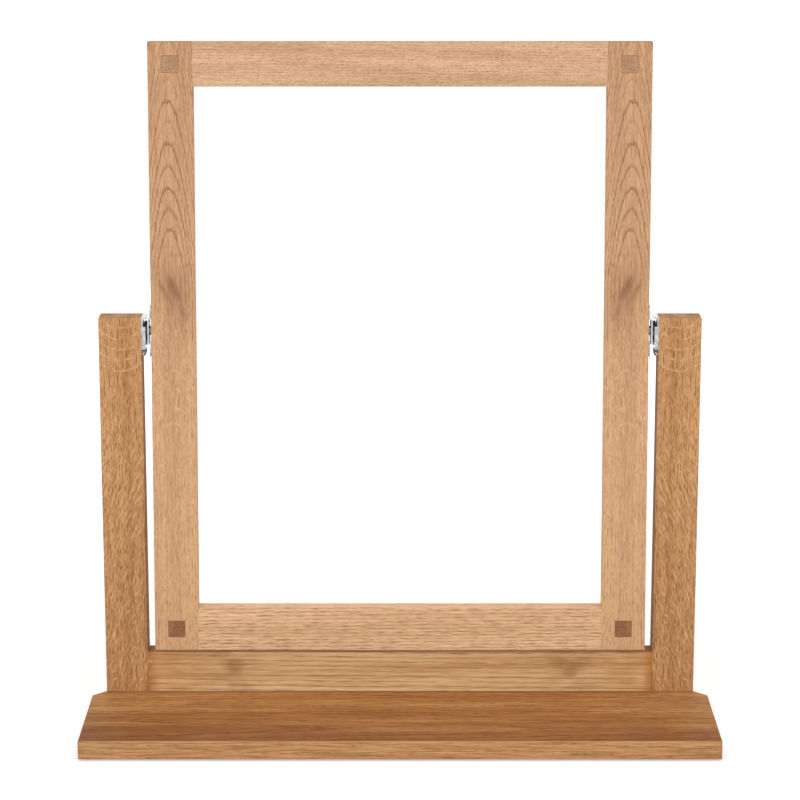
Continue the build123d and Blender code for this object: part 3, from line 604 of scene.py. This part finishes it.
feltPad = {"vertices": 72, "rings": (2.4, 2.6, 2.4), "sharpTurn": 60, "rim": 0.55, "rimSteps": 4,
           "rimProfile": 0.6, "slack": 0.15, "fuzz": 0.04}
padNodes = sorted(node for node in cadNodes if node.endswith("felt_pad"))
for seed, node in enumerate(padNodes):
    low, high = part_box(node)
    slack = feltPad["slack"] * millimetre
    bpy.ops.object.select_all(action="DESELECT")
    bpy.ops.mesh.primitive_cylinder_add(vertices=feltPad["vertices"], radius=(high.x - low.x) / 2 - slack,
                                        depth=high.z - low.z - slack, location=(low + high) / 2)
    pad = bpy.context.object
    pad.name = node.replace("felt_pad", "pressed_felt")
    bpy.ops.object.mode_set(mode="EDIT")
    bpy.ops.mesh.select_all(action="DESELECT")
    bpy.ops.mesh.edges_select_sharp(sharpness=math.radians(feltPad["sharpTurn"]))
    bpy.ops.mesh.bevel(offset=feltPad["rim"] * millimetre, segments=feltPad["rimSteps"],
                       profile=feltPad["rimProfile"])
    bpy.ops.mesh.select_all(action="DESELECT")
    bpy.ops.mesh.select_face_by_sides(number=4, type="GREATER")  # the two round faces
    for ring in feltPad["rings"]:
        bpy.ops.mesh.inset(thickness=ring * millimetre, depth=0)
    bpy.ops.mesh.poke()
    bpy.ops.mesh.select_all(action="SELECT")
    bpy.ops.transform.vertex_random(offset=feltPad["fuzz"] * millimetre, uniform=1, normal=0, seed=seed)
    bpy.ops.object.mode_set(mode="OBJECT")
    bpy.ops.object.transform_apply(location=True, rotation=True, scale=True)
    bpy.ops.object.shade_smooth()
    pad.data.materials.append(padFelt)
    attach(pad, "stand")
    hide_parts(node)
print("felt pads made:", padNodes)


# Foam packing: a cut sheet behind the glass, pressed flat, with slightly uneven faces

foamSheet = {"width": 403, "height": 515, "thickness": 1.8, "cells": (40, 52), "rim": 0.4, "rimSteps": 2,
             "fuzz": 0.03, "seed": 9}
cellsWide, cellsHigh = foamSheet["cells"]
bpy.ops.object.select_all(action="DESELECT")
bpy.ops.mesh.primitive_grid_add(x_subdivisions=cellsWide, y_subdivisions=cellsHigh, size=1)
foam = bpy.context.object
foam.name = "foam_packing"
foam.scale = (foamSheet["width"] * millimetre, foamSheet["height"] * millimetre, 1)
foam.rotation_euler = (math.radians(90) - tilt, 0, 0)
foam.location = onFrame("foam")
bpy.ops.object.transform_apply(location=True, rotation=True, scale=True)
thicken = foam.modifiers.new("sheetThickness", "SOLIDIFY")
thicken.thickness, thicken.offset = foamSheet["thickness"] * millimetre, 0
bpy.ops.object.modifier_apply(modifier=thicken.name)
soften = foam.modifiers.new("cutEdges", "BEVEL")
soften.width, soften.segments = foamSheet["rim"] * millimetre, foamSheet["rimSteps"]
soften.limit_method = "ANGLE"
bpy.ops.object.modifier_apply(modifier=soften.name)
bpy.ops.object.mode_set(mode="EDIT")
bpy.ops.mesh.select_all(action="SELECT")
bpy.ops.transform.vertex_random(offset=foamSheet["fuzz"] * millimetre, uniform=1, normal=0,
                                seed=foamSheet["seed"])
bpy.ops.object.mode_set(mode="OBJECT")
bpy.ops.object.shade_smooth()
foam.data.materials.append(packingFoam)
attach(foam, "mirror")
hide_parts("packing_sheet")
print("foam packing made")


# Stage: pale floor and white surround, which keep their light level off the object

stage = {"floorSize": 30, "floorColour": "#F4F3F1", "near": 0.5, "nearGlow": 0.42, "far": 3.0,
         "farGlow": 0.64, "ambient": 0.48}


def seenDirectly(tree):  # camera, glossy and see-through rays see the white surround
    path = addNode(tree, "LightPath")
    seen = addNode(tree, "Math", {0: path.outputs["Is Camera Ray"], 1: path.outputs["Is Glossy Ray"]},
                   operation="MAXIMUM")
    return addNode(tree, "Math", {0: seen, 1: path.outputs["Is Transmission Ray"]}, operation="MAXIMUM")


bpy.ops.object.select_all(action="DESELECT")
bpy.ops.mesh.primitive_plane_add(size=stage["floorSize"])
floor = bpy.context.object
floor.name = "studioFloor"
floorPaint, tree, shader = startMaterial("paleStudioFloor")
place = addNode(tree, "TexCoord").outputs["Object"]
away = addNode(tree, "VectorMath", {0: place}, operation="LENGTH").outputs["Value"]
glow = addNode(tree, "MapRange", {"Value": away, "From Min": stage["near"], "From Max": stage["far"],
                                  "To Min": stage["nearGlow"], "To Max": stage["farGlow"]})
glow = addNode(tree, "Math", {0: glow, 1: seenDirectly(tree)}, operation="MULTIPLY")
wire(tree, shader, {"Base Color": linear(stage["floorColour"]), "Roughness": 1, "Specular IOR Level": 0,
                    "Emission Color": white,"Emission Strength": glow})
floor.data.materials.append(floorPaint)

world = bpy.data.worlds.new("softSurround")
bpy.context.scene.world = world
world.use_nodes = True
tree = world.node_tree
level = addNode(tree, "MapRange", {"Value": seenDirectly(tree), "To Min": stage["ambient"], "To Max": 1})
wire(tree, tree.nodes["Background"], {"Color": white, "Strength": level})

softboxes = {
    "softboxLeft": {"place": (-1.5, -2.1, 0.7), "power": 17, "size": (1.3, 1.0)},
    "softboxRight": {"place": (1.5, -2.1, 0.7), "power": 17, "size": (1.3, 1.0)},
    "softboxAbove": {"place": (0, -0.9, 2.4), "power": 17, "size": (1.8, 1.2)},
    "softboxBehind": {"place": (0, 2.3, 0.5), "power": 13, "size": (1.8, 0.9)},
}
lampAim = Vector((0, 0, 0.3))  # near the middle of the object
for name, box in softboxes.items():
    place = Vector(box["place"])
    bpy.ops.object.light_add(type="AREA", location=place)
    lamp = bpy.context.object
    lamp.name = name
    lamp.rotation_euler = (lampAim - place).to_track_quat("-Z", "Y").to_euler()
    lamp.data.shape = "RECTANGLE"
    lamp.data.size, lamp.data.size_y = box["size"]
    lamp.data.energy = box["power"]
    lamp.visible_camera = False
print("stage and lights set")

camera = {"lens": 127.9, "sensor": 36, "place": (0, -2.5963, 0.9230), "pitch": 12.985}
bpy.ops.object.camera_add(location=camera["place"], rotation=(math.radians(90 - camera["pitch"]), 0, 0))
viewer = bpy.context.object
viewer.name = "photographView"
viewer.data.lens, viewer.data.sensor_width = camera["lens"], camera["sensor"]
viewer.data.dof.use_dof = False
bpy.context.scene.camera = viewer
bpy.context.scene.view_settings.view_transform = "Standard"
print("camera set")
